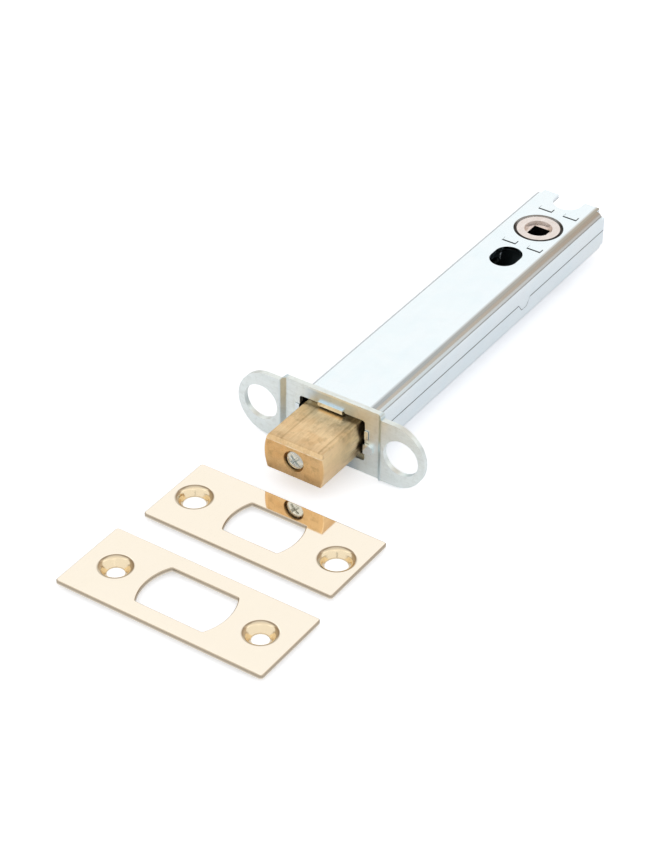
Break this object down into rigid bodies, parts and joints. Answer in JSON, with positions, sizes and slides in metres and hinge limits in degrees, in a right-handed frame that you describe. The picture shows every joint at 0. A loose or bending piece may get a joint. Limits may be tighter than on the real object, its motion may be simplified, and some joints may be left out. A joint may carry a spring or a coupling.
{
  "type": "tubular deadbolt",
  "caption": "Tubular mortice deadbolt, bolt thrown, with a loose brass faceplate and strike plate; a square-socket follower throws and draws the bolt.",
  "frame": {"origin": "midway between the forend's two screw holes, on the front face of its ears", "axes": "+X is the way the bolt is thrown, +Y runs along the forend, +Z is the follower's axis, up as the set lies on a table"},
  "size_m": [0.2048, 0.0636, 0.0204],
  "materials": {
    "zinc_steel": "zinc plated, satin",
    "forend_steel": "zinc plated, dull",
    "bolt_brass": "brushed along its length",
    "plate_brass": "polished",
    "screw_steel": "bright",
    "follower_zinc": "die cast, satin"
  },
  "bodies": {
    "case": {"case_upper_shell": "zinc_steel", "case_lower_shell": "zinc_steel", "forend": "forend_steel", "front_spacer": "zinc_steel", "rear_spacer": "zinc_steel", "detent_spring": "screw_steel", "faceplate": "plate_brass", "strike_plate": "plate_brass"},
    "bolt": {"bolt": "bolt_brass", "bolt_screw": "screw_steel", "draw_bar": "zinc_steel", "draw_bar_stud": "screw_steel"},
    "follower": {"follower": "follower_zinc"}
  },
  "joints": [
    {"name": "bolt_slide", "type": "slide", "parent": "case", "child": "bolt", "axis": [1, 0, 0], "range_m": [-0.0151, 0]},
    {"name": "follower_turn", "type": "hinge", "parent": "case", "child": "follower", "pos_m": [-0.106, 0, 0], "axis": [0, 0, 1], "range_deg": [-93, 0], "deforming": ["detent_spring"]}
  ],
  "couplings": [
    {"joint": "follower_turn", "follows": "bolt_slide", "rad_per_m": 104}
  ]
}
